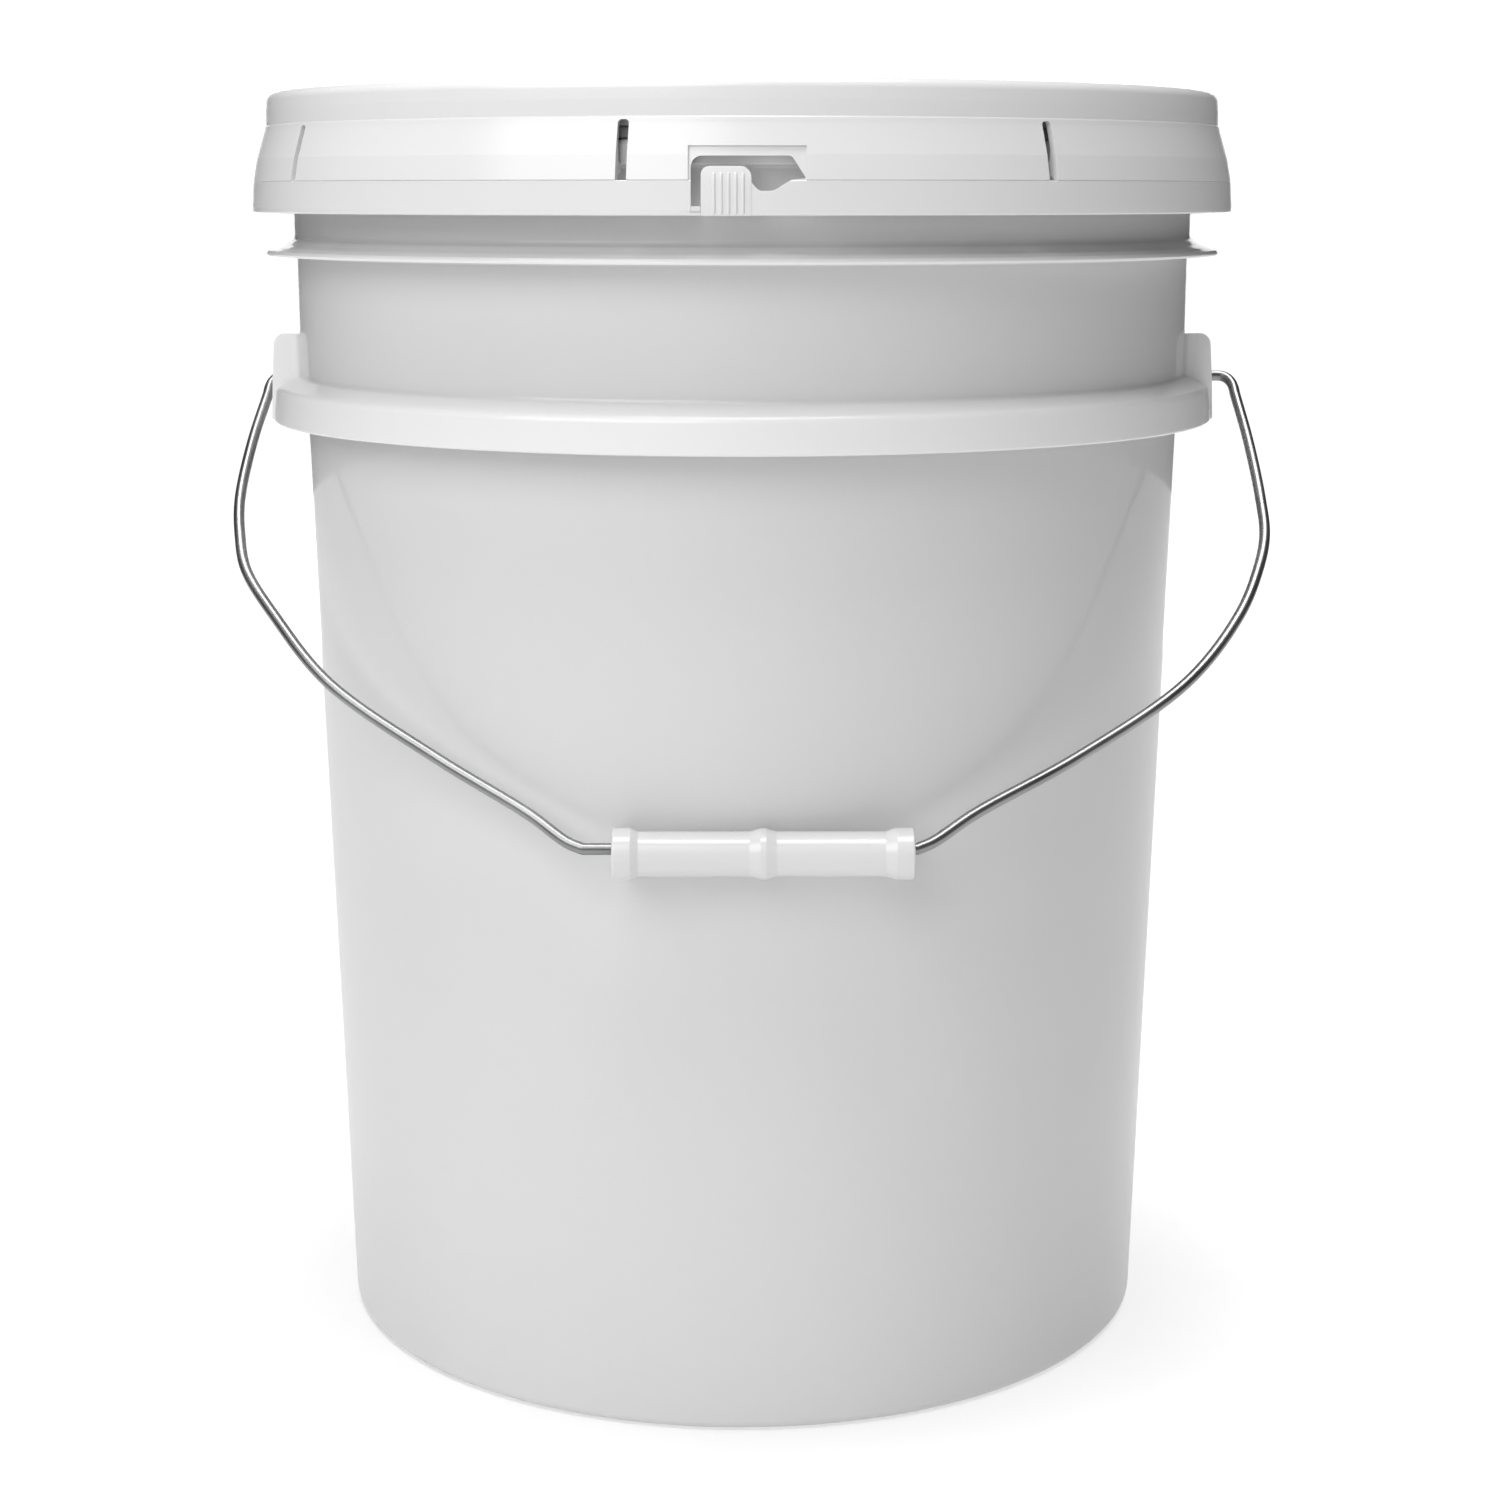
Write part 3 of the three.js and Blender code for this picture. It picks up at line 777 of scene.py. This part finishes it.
def through(points, steps):
    """A centripetal Catmull-Rom curve through the points, without the first."""
    ends = [points[0] * 2 - points[1], *points, points[-1] * 2 - points[-2]]
    curve = []
    for p0, p1, p2, p3 in zip(ends, ends[1:], ends[2:], ends[3:]):
        d0, d1, d2 = ((b - a).length ** 0.5 for a, b in ((p0, p1), (p1, p2), (p2, p3)))
        m1 = (p2 - p1) + ((p1 - p0) / d0 - (p2 - p0) / (d0 + d1)) * d1
        m2 = (p2 - p1) + ((p3 - p2) / d2 - (p3 - p1) / (d1 + d2)) * d1
        for k in range(1, steps + 1):
            t = k / steps
            curve.append(
                p1 * (2 * t ** 3 - 3 * t ** 2 + 1) + m1 * (t ** 3 - 2 * t ** 2 + t)
                + p2 * (3 * t ** 2 - 2 * t ** 3) + m2 * (t ** 3 - t ** 2))
    return curve


def half_bail(side):
    """The wire's centreline from its hooked end to the end of the straight middle."""

    def at(half_width, down, shift=0.0):
        return bail_point(half_width, down, shift, side)

    first_down, first_half, first_shift = BAIL_SIDE[0]
    bend_start = at(first_half - 5, 0, first_shift)
    side_start = at(first_half, first_down, first_shift)
    half, shift = BAIL_STRAIGHT
    line = [at(HOOK_X, -HOOK_LENGTH), at(HOOK_X, -HOOK_BEND)]
    line += bezier(line[-1], at(HOOK_X, 0), at(HOOK_X + HOOK_BEND, 0), 10)
    line.append(bend_start)
    line += bezier(bend_start, at(first_half, 0, first_shift), side_start, 12)
    route = [at(width, down, lean) for down, width, lean in BAIL_SIDE]
    route += [at(half + 4.6, BAIL_DROP - 2.4, shift), at(half, BAIL_DROP, shift)]
    return line + through(route, 10)


def make_wire(material):
    """A round tube along the bail's planar centreline, with slightly chamfered ends."""
    line = half_bail(-1) + list(reversed(half_bail(1)))
    across = Vector((0, -math.cos(BAIL_TILT), math.sin(BAIL_TILT)))
    mesh = bmesh.new()
    rings = []
    for i, point in enumerate(line):
        before = line[max(i - 1, 0)]
        after = line[min(i + 1, len(line) - 1)]
        normal = (after - before).normalized().cross(across)
        size = WIRE_RADIUS * (0.8 if i in (0, len(line) - 1) else 1)
        rings.append([
            mesh.verts.new(point + (normal * math.cos(a) + across * math.sin(a)) * size)
            for a in (2 * math.pi * k / 24 for k in range(24))
        ])
    wire = smooth(capped("bail_rod", mesh, rings), angle=50)
    fit_out(wire, "bail", "bail_wire", material)


def make_grip(material):
    """The loose plastic grip: collars at the ends, a raised ring in the middle."""
    end = GRIP_LENGTH / 2
    bore, body = 3.75, 6.4
    outline = rounded([
        (bore, -end, 0.4), (COLLAR_RADIUS, -end, 0.7), (COLLAR_RADIUS, 5.2 - end, 0.6),
        (body, 7.4 - end, 1.5), (body, -3.8, 2.5), (body + 0.9, -0.8, 1.2), (body + 0.9, 0.8, 1.2),
        (body, 3.8, 2.5), (body, end - 8.2, 1.5), (COLLAR_RADIUS, end - 5.1, 0.8),
        (COLLAR_RADIUS, end, 0.7), (bore, end, 0.4),
    ], closed=True)
    grip = turned("grip_tube", outline, segments=72, closed=True)
    along = Matrix.Rotation(math.pi / 2, 4, "Y")
    centre = Vector((GRIP_X, GRIP_Y, GRIP_Z)) * MM
    grip.data.transform(Matrix.Translation(centre) @ along)
    smooth(grip)
    fit_out(grip, "grip", "bail_grip", material)


# ---- stage -----------------------------------------------------------------------------


def aim(thing, target):
    """Turns a light or camera to face a point."""
    direction = Vector(target) - thing.location
    thing.rotation_euler = direction.to_track_quat("-Z", "Y").to_euler()


def make_camera():
    """Level with the lid, close and tilted down; a hair of yaw sets the bucket left of centre."""
    data = bpy.data.cameras.new("camera")
    data.lens = 66.38
    data.clip_start = 0.01
    camera = bpy.data.objects.new("camera", data)
    camera.location = (0, -0.9055, 0.3643)
    camera.rotation_euler = (math.radians(90 - 11.4), 0, math.radians(-0.155))
    bpy.context.scene.collection.objects.link(camera)
    bpy.context.scene.camera = camera


def add_light(name, kind, energy, place, receivers, blockers=None):
    """A light that reaches only its receivers and is stopped only by its blockers, if given."""
    data = bpy.data.lights.new(name, kind)
    data.energy = energy
    light = bpy.data.objects.new(name, data)
    light.location = place
    light.visible_camera = False
    light.light_linking.receiver_collection = receivers
    light.light_linking.blocker_collection = blockers
    bpy.context.scene.collection.objects.link(light)
    return light


def softbox(name, place, size, power, receivers):
    """A rectangular area light that faces the bucket's middle."""
    light = add_light(name, "AREA", power, place, receivers)
    light.data.shape = "RECTANGLE"
    light.data.size, light.data.size_y = size
    aim(light, (0, 0, 0.25))
    return light


def overhead(name, energy, receivers, blockers=None):
    """A very wide sun straight above."""
    light = add_light(name, "SUN", energy, (0, 0, 3), receivers, blockers)
    light.data.angle = math.radians(36)


def make_floor():
    """A wide pale disc under the bucket."""
    mesh = bmesh.new()
    bmesh.ops.create_circle(mesh, cap_ends=True, segments=64, radius=2500)
    floor = finish_mesh("floor", mesh)
    look = Look("floor")
    speckle = look.noise(30, detail=3)
    look.drive("Base Color", look.tint(speckle, (0.93, 0.93, 0.93), (0.95, 0.95, 0.95)))
    look.fix(Roughness=0.9, Specular_IOR_Level=0.1)
    floor.data.materials.append(look.material)
    return floor


def make_world():
    """White behind the object, dimmer where it only lights."""
    world = bpy.data.worlds.new("studio")
    bpy.context.scene.world = world
    world.use_nodes = True
    nodes, links = world.node_tree.nodes, world.node_tree.links
    seen = nodes["Background"]
    seen.inputs["Color"].default_value = (1, 1, 1, 1)
    seen.inputs["Strength"].default_value = 1.05
    ambient = nodes.new("ShaderNodeBackground")
    ambient.inputs["Color"].default_value = (1, 1, 1, 1)
    ambient.inputs["Strength"].default_value = 0.05
    path = nodes.new("ShaderNodeLightPath")
    mix = nodes.new("ShaderNodeMixShader")
    links.new(path.outputs["Is Camera Ray"], mix.inputs[0])
    links.new(ambient.outputs[0], mix.inputs[1])
    links.new(seen.outputs[0], mix.inputs[2])
    links.new(mix.outputs[0], nodes["World Output"].inputs["Surface"])


def placed(azimuth, elevation, distance):
    """A position round the bucket's middle; azimuth counts from the front to the right."""
    turn, rise = math.radians(azimuth), math.radians(elevation)
    flat = distance * math.cos(rise)
    return (flat * math.sin(turn), -flat * math.cos(turn), 0.25 + distance * math.sin(rise))


def light_studio(floor):
    """Softboxes and sky for the bucket; the floor is lit apart, to stay even and white."""
    floor_only = bpy.data.collections.new("floor_only")
    floor_only.objects.link(floor)
    bucket = bpy.data.collections.new("all_but_floor")
    bucket.objects.link(floor)
    bucket.collection_objects[0].light_linking.link_state = "EXCLUDE"
    overhead("floor_wash", 1.5, floor_only, blockers=floor_only)
    overhead("floor_contact", 2.2, floor_only)
    overhead("sky", 3.4, bucket)
    softbox("key", placed(-33, 36, 1.9), (1.6, 1.2), 23, bucket)
    fill = softbox("fill", placed(-12, 5, 1.8), (0.9, 0.6), 6, bucket)
    fill.visible_glossy = False
    softbox("backdrop", placed(180, 12, 1.2), (1.0, 1.6), 13, bucket)


make_camera()
make_world()
light_studio(make_floor())

# Each roughness stays clear of 0.274, where denoising changes and would draw a contour
# The pail's last colour is painted light: the whiter tone of its band, ears and flange
PAIL_PLASTIC = moulded_plastic(
    "pail_plastic", (0.59, 0.59, 0.59), 0.38, 0.16, 0.05, 0.3, painted_light_tone=(0.69, 0.69, 0.69))
LID_PLASTIC = moulded_plastic("lid_plastic", (0.66, 0.66, 0.66), 0.235, 0.03, 0.1, 0.0)
GRIP_PLASTIC = moulded_plastic("grip_plastic", (0.62, 0.62, 0.62), 0.235, 0.03, 0.05, 0.0)

make_pail(PAIL_PLASTIC)
make_lid(LID_PLASTIC)
make_tear_strip(LID_PLASTIC)
make_pull_tab(LID_PLASTIC)
make_gasket(soft_rubber("gasket_rubber", (0.20, 0.20, 0.20)))
make_grommet(soft_rubber("grommet_rubber", (0.03, 0.03, 0.03)))
make_wire(plated_wire())
make_grip(GRIP_PLASTIC)

bpy.context.scene.view_settings.view_transform = "Standard"
